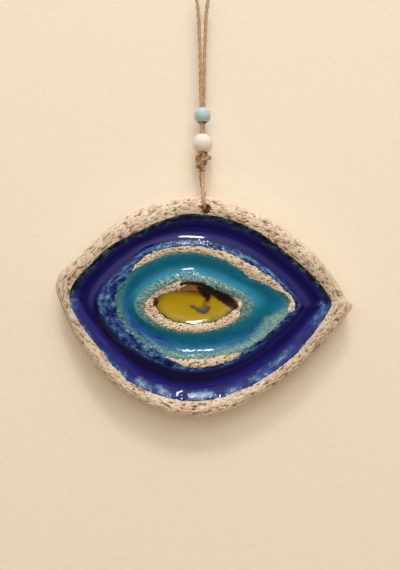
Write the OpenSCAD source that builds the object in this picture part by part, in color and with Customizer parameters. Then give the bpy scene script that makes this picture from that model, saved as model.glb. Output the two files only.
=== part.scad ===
// Evil eye wall ornament: a carved clay eye with fused glazes, hung on doubled twine with two beads.
// Frame: X right, Z up, the front faces -Y, the wall is at +Y, and the nail is the origin.

/* [Plaque] */
// Reach of the outline from the pupil's centre to the left corner
plaque_left = 75; // [71:1:95]
// Reach of the outline from the pupil's centre to the right corner
plaque_right = 74.5; // [72:0.5:95]
// Reach of the outline from the pupil's centre to the top
plaque_up = 52.5; // [51:0.5:70]
// Reach of the outline from the pupil's centre to the bottom
plaque_down = 57; // [55:1:75]
// Thickness of the clay at the crest of the rim
plaque_thick = 13; // [11:0.5:18]
// Rounding of the outer edge, front and back
edge_round = 2.2; // [1:0.1:3]
// Pointedness of the left corner: 1 is round, 2 has straight sides
point_left = 1.65; // [1.2:0.05:1.9]
// Pointedness of the right corner
point_right = 1.8; // [1.2:0.05:1.9]
// Turn of the outer outline, in degrees, which drops the right corner
outline_tilt = 3.4; // [0:0.2:6]
// Height of the outer corners over the pupil's centre
corner_lift = 3; // [0:0.5:4]
// How much fuller the left half of each outline is than the right
outline_lean = 0.11; // [0:0.01:0.15]

/* [Rim] */
// Width of the bare clay rim at the left corner
rim_left = 6.5; // [4:0.5:8]
// Width of the rim at the top
rim_top = 9.5; // [9:0.5:11]
// Width of the rim at the right corner
rim_right = 10; // [5:0.5:12]
// Width of the rim at the bottom
rim_bottom = 8; // [5:0.5:9]

/* [Cobalt groove] */
// Width of the outer groove at the left corner
cobalt_left = 14; // [10:0.5:15]
// Width of the outer groove at the top
cobalt_top = 11; // [8:0.5:12.5]
// Width of the outer groove at the right corner
cobalt_right = 15; // [10:0.5:17]
// Width of the outer groove at the bottom
cobalt_bottom = 15; // [10:0.5:16]
// Depth of the outer groove below the rim's crest
cobalt_depth = 5.6; // [3:0.2:7]

/* [Middle ridge] */
// Width of the middle ridge at the left corner
ridge_left = 13; // [8:0.5:14]
// Width of the middle ridge at the top
ridge_top = 8.5; // [6:0.5:10]
// Width of the middle ridge at the right corner
ridge_right = 7.5; // [5:0.5:9]
// Width of the middle ridge at the bottom
ridge_bottom = 10; // [6:0.5:12]
// Depth of the ridge's crest below the rim's crest
ridge_drop = 0.8; // [0:0.1:2]

/* [Turquoise groove] */
// Width of the inner groove at the left corner
turquoise_left = 6; // [4:0.5:7]
// Width of the inner groove at the top
turquoise_top = 9.5; // [6:0.5:10.5]
// Width of the inner groove at the right corner
turquoise_right = 16; // [10:0.5:17]
// Width of the inner groove at the bottom
turquoise_bottom = 8.5; // [5:0.5:10]
// Depth of the inner groove below the rim's crest
turquoise_depth = 5; // [3:0.2:6]

/* [Inner ring] */
// Width of the inner ring at the left corner
ring_left = 11; // [7:0.5:14]
// Width of the inner ring at the top
ring_top = 7; // [4:0.5:8]
// Width of the inner ring at the right corner
ring_right = 8.5; // [5:0.5:11]
// Width of the inner ring at the bottom
ring_bottom = 5; // [3:0.5:7]
// Depth of the ring's crest below the rim's crest
ring_drop = 0.9; // [0:0.1:2]

/* [Pupil] */
// Depth of the pupil's hollow below the rim's crest
pupil_depth = 3.8; // [2.5:0.1:5]
// Pointedness of the pupil's outline
pupil_point = 1.2; // [1:0.05:1.5]

/* [Glaze] */
// Thickness of the glaze pooled in the two grooves
glaze_pool = 1.4; // [0.6:0.1:2]
// Thickness of the glaze on the slopes beside the grooves
glaze_slope = 0.5; // [0.3:0.05:0.8]
// Thickness of the yellow glaze in the pupil
yellow_pool = 1.2; // [0.6:0.1:1.6]
// Thickness of the dark glaze brushed over the pupil's upper edge
dark_thick = 0.3; // [0.2:0.05:0.6]

/* [Hanging hole] */
// Diameter of the hanging hole
hole_d = 5.2; // [4.6:0.2:6]
// Distance from the outline's top to the centre of the hole
hole_inset = 5.6; // [5:0.1:6.5]

/* [Beads] */
// Diameter of the upper, pale blue bead
blue_d = 8.6; // [7:0.2:10]
// Diameter of the lower, white bead
white_d = 10.2; // [8:0.2:12]
// Play of the two strands in a bead's bore
bore_play = 0.8; // [0.6:0.1:1.4]
// Length of bare twine between the two beads
bead_gap = 5.8; // [5:0.2:8]

/* [Twine] */
// Diameter of the twine
twine_d = 1.7; // [1.2:0.1:2]
// Distance from the nail down to the knot's top
knot_drop = 80.5; // [70:0.5:110]
// Height of the knot
knot_h = 8.6; // [7:0.2:11]
// Diameter of the wraps of the knot
knot_d = 6.4; // [5.6:0.2:7]
// Length of the cut ends of the twine
tail_len = 5; // [4:0.5:8]
// Height of the sling from the middle of the hole up to the knot
sling_h = 19.7; // [16:0.5:26]

/* [Hidden] */

// Number of points round each contour, and of sides on the twine
around = 72;
twine_sides = 8;
// Clearance between the knot and the bead that rests on it, and between the knot and the sling
fit_gap = 0.3;
sling_gap = 0.8;
// Clearance between the sling and the faces of the clay
sling_clear = 0.6;
// Wraps of the knot, the share of its height that they fill one on another, their slant and their turn
wraps = 3;
wrap_fill = 0.87;
wrap_tilt = 12;
wrap_turn = 40;
// Cut ends of the twine: height over the knot's middle, slant from upright and turn about the twine
tails = [[0.8, 72, -18], [0.2, 60, 10]];

// Reach of each contour from the pupil's centre: outline, groove edge, ridge, groove, ring, pupil, centre
reach_left = inward(plaque_left, [rim_left, cobalt_left, ridge_left, turquoise_left, ring_left]);
reach_right = inward(plaque_right, [rim_right, cobalt_right, ridge_right, turquoise_right, ring_right]);
reach_up = inward(plaque_up, [rim_top, cobalt_top, ridge_top, turquoise_top, ring_top]);
reach_down = inward(plaque_down, [rim_bottom, cobalt_bottom, ridge_bottom, turquoise_bottom, ring_bottom]);

// Share of the outline's point, lift, tilt and lean that each contour has. The inner groove leans the most,
// so the ridge over it is broad at its right and narrow at its left
point_share = [1, 1, 1, 0.5, 0.2, 0, 0];
lift_share = [1, 0.5, 0, 0, 0, 0, 0];
tilt_share = [1, 0.5, 0.3, 1, 0.4, 0.1, 0];
lean_share = [1, 0.8, 1, 2.4, 1, 0.7, 0];

// Depth of the clay at each contour, and midway between one contour and the next
groove_lip = 1.2;
ridge_foot = 2.4;
ring_foot = 2.2;
pupil_lip = 1.8;
pupil_dish = 0.5;
contour_depth = [edge_round, groove_lip, ridge_foot, ridge_foot, ring_foot, pupil_lip, pupil_depth];
band_depth = [0, cobalt_depth, ridge_drop, turquoise_depth, ring_drop, pupil_depth - pupil_dish];

// Stations from the outline (0) to the pupil's centre (6), where the clay and glazes have a ring of points
rim_rings = [0, 0.08, 0.22, 0.5, 0.78];
cobalt_rings = [1, 1.1, 1.25, 1.45, 1.7, 1.88, 2, 2.12];
ridge_rings = [2.3, 2.5, 2.75];
turquoise_rings = [2.9, 3, 3.12, 3.3, 3.55, 3.8, 3.92, 4];
ring_rings = [4.25, 4.5, 4.75];
pupil_rings = [5, 5.15, 5.35, 5.65];
clay_rings = concat(rim_rings, cobalt_rings, ridge_rings, turquoise_rings, ring_rings, pupil_rings);
// The flat back starts a quarter of the rim's width in from the outline
back_inset = 0.25;
// Share of the way to the pupil's centre over which the yellow glaze reaches its thickness
yellow_edge = 0.35;
// The dark glaze lies from the ring's inner slope onto the yellow, between two points of the contours
dark_rings = [ring_rings[2], pupil_rings[0], pupil_rings[1], pupil_rings[2]];
dark_first = 2;
dark_last = 22;

// Places down the twine, from the nail at z = 0
bead_bore = 2 * twine_d + bore_play;
knot_mid = -knot_drop - knot_h / 2;
hole_z = -knot_drop - knot_h - sling_gap - sling_h;
white_z = -knot_drop + fit_gap + bead_half_height(white_d);
blue_z = white_z + bead_half_height(white_d) + bead_gap + bead_half_height(blue_d);

// The plaque hangs from its hole, so its height follows from the hole's. The hole is drilled a little to the
// right, and the plaque stands forward of the twine's line by less than the twine behind it is thick
hole_x = 1.6;
plaque_x = 0.8;
plaque_y = -0.9;
back_y = plaque_y + plaque_thick / 2;
front_y = plaque_y - plaque_thick / 2;
pupil_z = hole_z + hole_inset - plaque_up;

// Half of the hanger's route, from inside the knot to the bight over the nail:
// distance below the nail, half the free gap between the strands, and turn of the pair in degrees
hanger_half = [[83, 0.05, 124], [78, 0.05, 112], [74, 0.05, 102], [70, 0.05, 92], [66, 0.05, 82],
    [62, 0.05, 70], [58, 0.05, 58], [54, 0.05, 44], [50, 0.05, 30], [46, 0.05, 16], [42, 0.1, 6],
    [38, 0.15, 0], [34, 0.2, 0], [30, 0.3, 0], [26, 0.4, 0], [22, 0.55, 0], [18, 0.7, 0], [14, 0.85, 0],
    [10, 1.15, 0], [6, 1.55, 0], [2.5, 2, 0], [0, 2.15, 0], [-1.6, 1.8, 0], [-2.7, 0.75, 0]];
hanger_top = 3.1;
// How far the hanger's strands run into the knot
knot_grip = 1.7;

// The sling's route down from the knot to the middle of the hole, as the front strand and the back strand:
// x, share of the way out to the strand in front of the clay or behind it, and share of the sling's height
sling_front = [[0.4, 0.08, 1], [0.4, 0.12, 0.93], [0.5, 0.24, 0.8], [0.6, 0.44, 0.67], [0.7, 0.63, 0.53],
    [0.8, 0.81, 0.4], [0.8, 0.94, 0.28], [0.8, 1, 0.18], [0.8, 0.94, 0.09], [0.8, 0.8, 0.04],
    [0.8, 0.6, 0.03], [0.8, 0.3, 0.03]];
sling_back = [[-0.8, 0.08, 1], [-0.8, 0.12, 0.93], [-0.7, 0.24, 0.8], [-0.6, 0.44, 0.67], [-0.3, 0.63, 0.53],
    [0, 0.81, 0.4], [0.3, 0.94, 0.28], [0.5, 1, 0.18], [0.7, 0.94, 0.09], [0.8, 0.8, 0.04],
    [0.8, 0.6, 0.03], [0.8, 0.3, 0.03]];

function mix(a, b, f) = a + (b - a) * f;
function at(values, s) = let(k = floor(s)) k >= len(values) - 1 ? values[len(values) - 1]
    : mix(values[k], values[k + 1], s - k);
function sum_to(values, n) = n == 0 ? 0 : values[n - 1] + sum_to(values, n - 1);
function inward(reach, bands) = [for (n = [0:len(bands)]) reach - sum_to(bands, n), 0];
function bead_half_height(d) = sqrt(pow(d / 2, 2) - pow(bead_bore / 2, 2));

// One point of the contour at station s, at angle t round the eye
function eye_point(s, t, y) = let(
    corner_point = mix(point_left, point_right, (1 + cos(t)) / 2),
    power = mix(pupil_point, corner_point, at(point_share, s)),
    tilt = -outline_tilt * at(tilt_share, s),
    lift = corner_lift * at(lift_share, s),
    left = at(reach_left, s),
    right = at(reach_right, s),
    tall = sin(t) >= 0 ? at(reach_up, s) - lift : -at(reach_down, s) - lift,
    x = (right - left) / 2 + (right + left) / 2 * cos(t),
    z = lift + tall * pow(abs(sin(t)), power) * (1 - outline_lean * at(lean_share, s) * cos(t)))
    [plaque_x + x * cos(tilt) - z * sin(tilt), y, pupil_z + x * sin(tilt) + z * cos(tilt)];

function contour(s, y) = [for (i = [0:around - 1]) eye_point(s, i * 360 / around, y)];

// Depth of the clay's surface below the rim's crest: each band swells or dips between its two contours
function clay_depth(s) = let(k = min(floor(s), 5), f = s - k,
    level = mix(contour_depth[k], contour_depth[k + 1], f),
    middle = (contour_depth[k] + contour_depth[k + 1]) / 2)
    level + (band_depth[k] - middle) * sin(180 * f);

function clay_y(s) = front_y + clay_depth(s);

// Surface of a glaze that pools in its groove, and thins to nothing from the last ring but one to the last
function pool_y(s, rings) = let(
    end = len(rings) - 1,
    a = rings[1],
    b = rings[end - 1])
    clay_y(s) - (s <= a ? glaze_slope * (s - rings[0]) / (a - rings[0])
    : s >= b ? glaze_slope * (rings[end] - s) / (rings[end] - b)
    : glaze_slope + (glaze_pool - glaze_slope) * sin(180 * (s - a) / (b - a)));
function yellow_y(s) = clay_y(s) - yellow_pool * sin(90 * min(1, (s - 5) / yellow_edge));

// Side faces between rings of n points that follow each other, numbered from the first ring. The first
// under_rings of them run back under a glaze, so they are split as the clay's own faces are
function walls(n, count, under_rings = 0) = [for (r = [0:count - 2], i = [0:n - 1])
    each quad(r * n + i, r * n + (i + 1) % n, (r + 1) * n + (i + 1) % n, (r + 1) * n + i, r < under_rings)];
function quad(a, b, c, d, other = false) = other ? [[a, b, d], [b, c, d]] : [[a, b, c], [a, c, d]];
function fan(n, ring, tip, flip) = [for (i = [0:n - 1]) let(a = ring * n + i, b = ring * n + (i + 1) % n)
    flip ? [b, a, tip] : [a, b, tip]];

// A solid lofted through rings of points, closed by a fan to a tip at either end
module loft(rings, first_tip, last_tip, under_rings = 0) {
    n = len(rings[0]);
    count = len(rings);
    points = concat([for (ring = rings) each ring], [first_tip, last_tip]);
    polyhedron(points, concat(walls(n, count, under_rings), fan(n, 0, n * count, true),
        fan(n, count - 1, n * count + 1, false)));
}

// A band of glaze in a groove: its rings run back under it, along the clay, and then over its own surface
module groove_glaze(rings) {
    n = around;
    end = len(rings) - 1;
    under = [for (k = [end:-1:1]) contour(rings[k], clay_y(rings[k]))];
    over = [for (k = [0:end - 1]) contour(rings[k], pool_y(rings[k], rings))];
    count = len(under) + len(over);
    closing = [for (i = [0:n - 1])
        each quad((count - 1) * n + i, (count - 1) * n + (i + 1) % n, (i + 1) % n, i)];
    polyhedron([for (ring = concat(under, over)) each ring], concat(walls(n, count, len(under)), closing));
}

module clay_plaque() {
    back = [contour(back_inset, back_y), contour(0, back_y - edge_round)];
    front = [for (s = clay_rings) contour(s, clay_y(s))];
    color("#cdb094")
    difference() {
        loft(concat(back, front), [plaque_x, back_y, pupil_z], [plaque_x, clay_y(6), pupil_z]);
        translate([hole_x, 0, hole_z]) rotate([90, 0, 0])
            cylinder(h = plaque_thick * 2, d = hole_d, center = true, $fn = 48);
    }
}

module cobalt_glaze() { color("#2a2470") groove_glaze(cobalt_rings); }
module turquoise_glaze() { color("#1c7f92") groove_glaze(turquoise_rings); }

module yellow_glaze() {
    inner = len(pupil_rings) - 1;
    under = [for (k = [inner:-1:1]) contour(pupil_rings[k], clay_y(pupil_rings[k]))];
    over = [for (s = pupil_rings) contour(s, yellow_y(s))];
    color("#c9a414") loft(concat(under, over), [plaque_x, clay_y(6), pupil_z],
        [plaque_x, yellow_y(6), pupil_z], len(under));
}

module dark_glaze() {
    under = [for (s = dark_rings) [for (i = [dark_first:dark_last])
        eye_point(s, i * 360 / around, s > 5 ? yellow_y(s) : clay_y(s))]];
    over = [for (row = under) [for (p = row) p - [0, dark_thick, 0]]];
    n = dark_last - dark_first + 1;
    rows = len(dark_rings);
    lap = n * rows;
    top_faces = [for (r = [0:rows - 2], i = [0:n - 2])
        each quad(r * n + i, r * n + i + 1, (r + 1) * n + i + 1, (r + 1) * n + i)];
    edge = concat([for (i = [0:n - 1]) i], [for (r = [1:rows - 1]) r * n + n - 1],
        [for (i = [n - 2:-1:0]) (rows - 1) * n + i], [for (r = [rows - 2:-1:1]) r * n]);
    sides = [for (k = [0:len(edge) - 1]) let(a = edge[k], b = edge[(k + 1) % len(edge)])
        each quad(b, a, a + lap, b + lap)];
    bottom_faces = [for (f = top_faces) [f[2] + lap, f[1] + lap, f[0] + lap]];
    color("#2b1a12") polyhedron(concat([for (row = over) each row], [for (row = under) each row]),
        concat(top_faces, sides, bottom_faces));
}

// A round tube swept along a route. Its rings are set out from the direction side, square to the route
module tube(route, d, sides, side) {
    last = len(route) - 1;
    rings = [for (i = [0:last]) let(
        along = unit(route[min(i + 1, last)] - route[max(i - 1, 0)]),
        u = unit(cross(along, side)),
        v = cross(along, u))
        [for (k = [0:sides - 1]) route[i] + d / 2 * (cos(k * 360 / sides) * u + sin(k * 360 / sides) * v)]];
    loft(rings, route[0], route[last]);
}
function unit(v) = v / norm(v);

module twine_hanger() {
    reach = (knot_drop + knot_grip) / hanger_half[0][0];
    half = [for (p = hanger_half) let(gap = twine_d / 2 + p[1])
        [gap * cos(p[2]), gap * sin(p[2]), -p[0] * reach]];
    other = [for (i = [len(half) - 1:-1:0]) [-half[i].x, -half[i].y, half[i].z]];
    color("#c9a77c") tube(concat(half, [[0, 0, hanger_top]], other), twine_d, twine_sides, [0, 1, 0]);
}

// Wraps of twine drawn tight round the strands, with the two cut ends standing out to the right
module twine_knot() {
    wrap_d = knot_h * wrap_fill / wraps;
    wrap_r = (knot_d - wrap_d) / 2;
    rise = (knot_h - wrap_d) / (wraps - 1) - wrap_r * sin(wrap_tilt);
    color("#b8905f")
    translate([0, 0, knot_mid]) {
        cylinder(h = knot_h - wrap_d / 2, r = wrap_r, center = true, $fn = 32);
        for (k = [(1 - wraps) / 2:(wraps - 1) / 2])
            translate([0, 0, k * rise]) rotate([wrap_tilt * (k == 0 ? -1 : 1), 0, k * wrap_turn])
                rotate_extrude($fn = 32) translate([wrap_r, 0]) circle(d = wrap_d, $fn = 20);
        for (tail = tails)
            translate([0, 0, tail[0]]) rotate([0, tail[1], tail[2]])
                cylinder(h = tail_len, d = twine_d, $fn = 24);
    }
}

// The plaque stands a little forward, so that its weight hangs straight under the knot
function sling_y(p, side) = plaque_y * (1 - p.z)
    + side * p.y * (plaque_thick / 2 + twine_d / 2 + sling_clear);

module twine_sling() {
    last = len(sling_back) - 1;
    front = [for (p = sling_front) [p.x, sling_y(p, -1), hole_z + p.z * sling_h]];
    back = [for (k = [last:-1:0]) let(p = sling_back[k]) [p.x, sling_y(p, 1), hole_z + p.z * sling_h]];
    color("#c9a77c") tube(concat(front, back), twine_d, twine_sides, [1, 0, 0]);
}

module bead(d, z) {
    translate([0, 0, z]) difference() {
        sphere(d = d, $fn = 64);
        cylinder(h = d * 2, d = bead_bore, center = true, $fn = 48);
    }
}
module blue_bead() { color("#b7ccc9") bead(blue_d, blue_z); }
module white_bead() { color("#efe4d2") bead(white_d, white_z); }

clay_plaque();
cobalt_glaze();
turquoise_glaze();
yellow_glaze();
dark_glaze();
twine_hanger();
twine_knot();
twine_sling();
blue_bead();
white_bead();
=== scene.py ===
import math

import bmesh
import bpy
import numpy as np
from mathutils import Matrix, Vector, noise


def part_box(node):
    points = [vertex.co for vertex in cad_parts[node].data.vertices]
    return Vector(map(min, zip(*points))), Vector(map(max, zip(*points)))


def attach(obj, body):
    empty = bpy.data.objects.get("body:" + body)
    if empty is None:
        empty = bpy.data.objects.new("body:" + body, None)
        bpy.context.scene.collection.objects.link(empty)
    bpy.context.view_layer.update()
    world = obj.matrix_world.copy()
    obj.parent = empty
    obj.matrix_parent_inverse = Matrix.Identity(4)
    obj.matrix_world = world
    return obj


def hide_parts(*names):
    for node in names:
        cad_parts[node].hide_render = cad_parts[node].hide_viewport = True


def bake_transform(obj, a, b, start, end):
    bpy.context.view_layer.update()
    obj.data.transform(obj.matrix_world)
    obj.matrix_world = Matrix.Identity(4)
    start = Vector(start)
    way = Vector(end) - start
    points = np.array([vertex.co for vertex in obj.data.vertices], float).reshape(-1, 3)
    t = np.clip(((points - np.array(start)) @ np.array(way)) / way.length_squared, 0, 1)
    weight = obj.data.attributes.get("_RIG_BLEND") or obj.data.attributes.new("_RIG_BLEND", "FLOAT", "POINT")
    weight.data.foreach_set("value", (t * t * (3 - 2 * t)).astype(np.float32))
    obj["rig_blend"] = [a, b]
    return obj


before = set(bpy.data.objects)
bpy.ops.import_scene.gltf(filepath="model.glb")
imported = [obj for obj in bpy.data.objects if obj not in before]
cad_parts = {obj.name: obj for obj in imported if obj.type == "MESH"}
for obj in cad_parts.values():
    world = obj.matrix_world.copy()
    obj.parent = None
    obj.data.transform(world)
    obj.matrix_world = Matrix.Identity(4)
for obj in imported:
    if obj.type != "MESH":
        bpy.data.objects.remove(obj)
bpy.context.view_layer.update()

mm = 0.001
scene = bpy.context.scene
scene.view_settings.view_transform = "Standard"


def linear(hexColour, alpha=1):  # sRGB hex to the linear colour that a shader takes
    values = [int(hexColour[k:k + 2], 16) / 255 for k in (1, 3, 5)]
    return [v / 12.92 if v <= 0.04045 else ((v + 0.055) / 1.055) ** 2.4 for v in values] + [alpha]


def link(tree, node, links):  # a source is a socket, or a node for its first output
    for key, source in links.items():
        if isinstance(source, bpy.types.Node):
            source = next(socket for socket in source.outputs if socket.enabled)
        tree.links.new(source, node.inputs[key])


def addNode(tree, kind, settings=None, links=None):
    node = tree.nodes.new("ShaderNode" + kind)
    for key, value in (settings or {}).items():
        if key == "stops":
            ramp = node.color_ramp
            while len(ramp.elements) < len(value):
                ramp.elements.new(1)
            for element, (place, colour) in zip(ramp.elements, value):
                element.position = place
                element.color = linear(colour)
        elif isinstance(key, int) or key in node.inputs:
            node.inputs[key].default_value = value
        else:
            setattr(node, key, value)
    link(tree, node, links or {})
    return node


def newMaterial(name, settings, reads=()):  # reads names the piece's own attributes that the material follows
    material = bpy.data.materials.new(name)
    material.use_nodes = True
    tree = material.node_tree
    shader = tree.nodes["Principled BSDF"]
    for key, value in settings.items():
        shader.inputs[key].default_value = value
    marks = {key: addNode(tree, "Attribute", {"attribute_name": key}).outputs["Fac"] for key in reads}
    marks["place"] = addNode(tree, "TexCoord").outputs["Object"]
    return material, tree, shader, marks


def grain(points, size, seed=0):  # smooth random field, about -1 to 1, with bumps of this size in mm
    scaled = np.asarray(points, float).reshape(-1, 3) / size + seed * 7.31
    values = np.array([noise.noise(p) for p in scaled.tolist()])
    return values.reshape(np.shape(points)[:-1])


def addPiece(bm, name, material, body, nodes=()):
    mesh = bpy.data.meshes.new(name)
    for face in bm.faces:
        face.smooth = True
    bm.to_mesh(mesh)
    bm.free()
    piece = bpy.data.objects.new(name, mesh)
    scene.collection.objects.link(piece)
    mesh.materials.append(material)
    if body:
        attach(piece, body)
    if nodes:
        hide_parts(*nodes)
    return piece


shot = {
    "distance": 300,  # from the lens to the plaque's outline, mm: close, as with a phone in the hand
    "across": -1.25,  # where the lens looks, mm from the nail
    "down": -147.5,
    "tall": 285,  # height that the frame takes in at the outline
    "sensor": 36,
    "outlineY": -5.2,
}
camera = bpy.data.objects.new("camera", bpy.data.cameras.new("camera"))
camera.data.sensor_width = shot["sensor"]
camera.data.lens = shot["sensor"] * shot["distance"] / shot["tall"]
camera.location = Vector((shot["across"], shot["outlineY"] - shot["distance"], shot["down"])) * mm
camera.rotation_euler = (math.pi / 2, 0, 0)
scene.collection.objects.link(camera)
scene.camera = camera


def juteTwine():
    # Jute, two soft plies spun together: dull straw gold with pale loose fibres, and painted shade darkening
    # the grooves where the plies meet
    finish = {"Roughness": 0.9, "Specular IOR Level": 0.2}
    material, tree, shader, marks = newMaterial("juteTwine", finish, ["groove"])
    fibre = addNode(tree, "Attribute", {"attribute_name": "fibre"})
    strands = addNode(tree, "TexNoise", {"Scale": 5, "Detail": 4, "Roughness": 0.7},
                      {"Vector": fibre.outputs["Vector"]})
    patches = addNode(tree, "TexNoise", {"Scale": 160, "Detail": 2}, {"Vector": marks["place"]})
    straw = addNode(tree, "ValToRGB", {"stops": [(0.25, "#9a7b5c"), (0.5, "#c9a882"), (0.75, "#e6ceac")]},
                    {"Fac": strands})
    warm = addNode(tree, "ValToRGB", {"stops": [(0.35, "#dcb497"), (0.65, "#f4e4c6")]}, {"Fac": patches})
    shade = addNode(tree, "ValToRGB", {"stops": [(0.0, "#7c6854"), (0.6, "#ffffff")]},
                    {"Fac": marks["groove"]})
    colour = straw
    for share, layer in ((0.4, warm), (1.0, shade)):
        colour = addNode(tree, "Mix", {"data_type": "RGBA", "blend_type": "MULTIPLY", 0: share},
                         {6: colour, 7: layer})
    bump = addNode(tree, "Bump", {"Strength": 0.7, "Distance": 0.15 * mm}, {"Height": strands})
    link(tree, shader, {"Base Color": colour, "Normal": bump})
    return material


twine = {
    "d": 1.7,
    "plies": 2,
    "pitch": 8.5,  # one full turn of the plies, mm
    "plyShare": 0.74,  # radius of a ply, as a share of the twine's
    "plyOffset": 0.43,
    "step": 0.5,
    "sides": 10,
}


def smoothRoute(points, step):  # an even run of points on a smooth curve through given ones
    p = np.array(points, float)
    ends = np.vstack([2 * p[0] - p[1], p, 2 * p[-1] - p[-2]])
    share = np.linspace(0, 1, 12, endpoint=False)[:, None]
    curve = [0.5 * (2 * b + (c - a) * share + (2 * a - 5 * b + 4 * c - d) * share ** 2
                    + (3 * b - a - 3 * c + d) * share ** 3)
             for a, b, c, d in zip(ends, ends[1:], ends[2:], ends[3:])]
    fine = np.vstack(curve + [p[-1:]])
    along = np.r_[0, np.cumsum(np.linalg.norm(np.diff(fine, axis=0), axis=1))]
    spots = np.linspace(0, along[-1], round(along[-1] / step) + 1)
    return np.stack([np.interp(spots, along, fine[:, k]) for k in range(3)], 1)


def sidesAlong(route):  # tangent and two cross directions at each point, turning as little as they can
    tangents = np.gradient(route, axis=0)
    tangents /= np.linalg.norm(tangents, axis=1)[:, None]
    side = np.cross(tangents[0], (0.3, 1, 0.2))
    frames = []
    for tangent in tangents:
        side = side - tangent * (side @ tangent)
        side /= np.linalg.norm(side)
        frames.append((tangent, side, np.cross(tangent, side)))
    return frames


def sweepTube(bm, route, radii, sides, along=0, layers=None):
    frames = sidesAlong(route)
    circle = bmesh.ops.create_circle(bm, segments=sides, radius=1)["verts"]
    turns = [math.atan2(v.co.y, v.co.x) for v in circle]
    edges = list({e for v in circle for e in v.link_edges})
    ring, rings = circle, [circle]
    for _ in route[1:]:
        made = bmesh.ops.extrude_edge_only(bm, edges=edges)["geom"]
        edges = [g for g in made if isinstance(g, bmesh.types.BMEdge) and len(g.link_faces) == 1]
        new = {v for e in edges for v in e.verts}
        ring = [next(e.other_vert(v) for e in v.link_edges if e.other_vert(v) in new) for v in ring]
        rings.append(ring)
    for k, (centre, (tangent, side, up), radius, ring) in enumerate(zip(route, frames, radii, rings)):
        for v, turn in zip(ring, turns):
            v.co = (centre + radius * (math.cos(turn) * side + math.sin(turn) * up)) * mm
            if layers:
                v[layers[0]] = (math.cos(turn), math.sin(turn), (along + k * twine["step"]) * 0.12)
    for ring in (rings[0], rings[-1]):
        bmesh.ops.contextual_create(bm, geom=ring)


def layTwine(bm, route, layers, seed, fatter, knotShade):
    # The plies wind round the route; an attribute painted as shade runs dark where they touch, and on the
    # knot it is painted darker still, as shade beneath the bead
    radius = twine["d"] / 2 * fatter
    frames = sidesAlong(route)
    lengths = np.arange(len(route)) * twine["step"]
    for ply in range(twine["plies"]):
        turns = 2 * math.pi * (lengths / twine["pitch"] + ply / twine["plies"]) + seed
        offset = radius * twine["plyOffset"]
        centres = np.array([p + offset * (math.cos(a) * f[1] + math.sin(a) * f[2])
                            for p, a, f in zip(route, turns, frames)])
        radii = radius * (twine["plyShare"] + 0.06 * grain(centres, 1.3, seed + ply))
        sweepTube(bm, centres, radii, twine["sides"], seed * 40, layers)
    tops = np.array(route) * mm
    for v in bm.verts:
        near = np.linalg.norm(tops - np.array(v.co), axis=1).min() / mm if len(bm.verts) < 12000 else radius
        v[layers[1]] = min(1, max(0, (near - 0.45 * radius) / (0.5 * radius))) * (1 - knotShade)


def twinePiece(name, routes, body, nodes, fatter=1, knotShade=0):
    bm = bmesh.new()
    layers = (bm.verts.layers.float_vector.new("fibre"), bm.verts.layers.float.new("groove"))
    for k, route in enumerate(routes):
        part = bmesh.new()
        partLayers = (part.verts.layers.float_vector.new("fibre"), part.verts.layers.float.new("groove"))
        layTwine(part, route, partLayers, k, fatter, knotShade)
        mesh = bpy.data.meshes.new("run")
        part.to_mesh(mesh)
        part.free()
        bm.from_mesh(mesh)
        bpy.data.meshes.remove(mesh)
    bmesh.ops.recalc_face_normals(bm, faces=bm.faces)
    return addPiece(bm, name, jute, body, nodes)


jute = juteTwine()

# One strand from inside the knot to the bight: distance below the nail, half the free gap, turn of the pair
hangerHalf = [(83, 0.05, 124), (78, 0.05, 108), (74, 0.05, 90), (70, 0.05, 73), (66, 0.05, 66),
              (62, 0.05, 60), (58, 0.05, 52), (54, 0.05, 42), (50, 0.05, 30), (46, 0.05, 16), (42, 0.1, 6),
              (38, 0.15, 0), (34, 0.2, 0), (30, 0.3, 0), (26, 0.4, 0), (22, 0.55, 0), (18, 0.7, 0),
              (14, 0.85, 0), (10, 1.15, 0), (6, 1.55, 0), (2.5, 2, 0), (0, 2.15, 0), (-1.6, 1.8, 0),
              (-2.7, 0.75, 0)]
hangerScale = 82.2 / 83  # the strands end 1.7 mm inside the knot
strand = [((twine["d"] / 2 + gap) * math.cos(math.radians(turn)),
           (twine["d"] / 2 + gap) * math.sin(math.radians(turn)),
           -drop * hangerScale) for drop, gap, turn in hangerHalf]
hangerPoints = strand + [(0, 0, 3.1)] + [(-x, -y, z) for x, y, z in reversed(strand)]
hangerRoute = smoothRoute(hangerPoints, twine["step"])
hanger = twinePiece("twine_hanger_plies", [hangerRoute], "hanger", ["twine_hanger"])

# The sling: from the knot down the front of the rim, through the hole and up the back.
# x, share of the way out to the strand before or behind the clay, share of the sling's height
slingShape = {
    "front": [(0.1, 0.08, 1), (0.1, 0.12, 0.93), (0.1, 0.24, 0.8), (0.15, 0.44, 0.67), (0.25, 0.63, 0.53),
              (0.4, 0.81, 0.4), (0.55, 0.94, 0.28), (0.7, 1, 0.18), (0.8, 0.94, 0.09), (0.8, 0.8, 0.04),
              (0.8, 0.6, 0.03), (0.8, 0.3, 0.03)],
    "back": [(-0.8, 0.08, 1), (-0.8, 0.12, 0.93), (-0.6, 0.24, 0.8), (-0.2, 0.44, 0.67), (0.5, 0.63, 0.53),
             (1.3, 0.81, 0.4), (2.1, 0.92, 0.25), (2.7, 0.96, 0.12), (3, 0.95, 0), (2.9, 0.9, -0.06),
             (2.2, 0.75, -0.07), (1.4, 0.5, -0.03), (1, 0.3, 0)],
    "holeZ": -109.6, "tall": 19.7, "plaqueY": -0.9, "reach": 7.95,
}
slingRuns = [[(x, slingShape["plaqueY"] * (1 - up) + side * out * slingShape["reach"],
               slingShape["holeZ"] + up * slingShape["tall"]) for x, out, up in slingShape[key]]
             for key, side in (("front", -1), ("back", 1))]
slingRoute = smoothRoute(slingRuns[0] + slingRuns[1][::-1], twine["step"])
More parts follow.
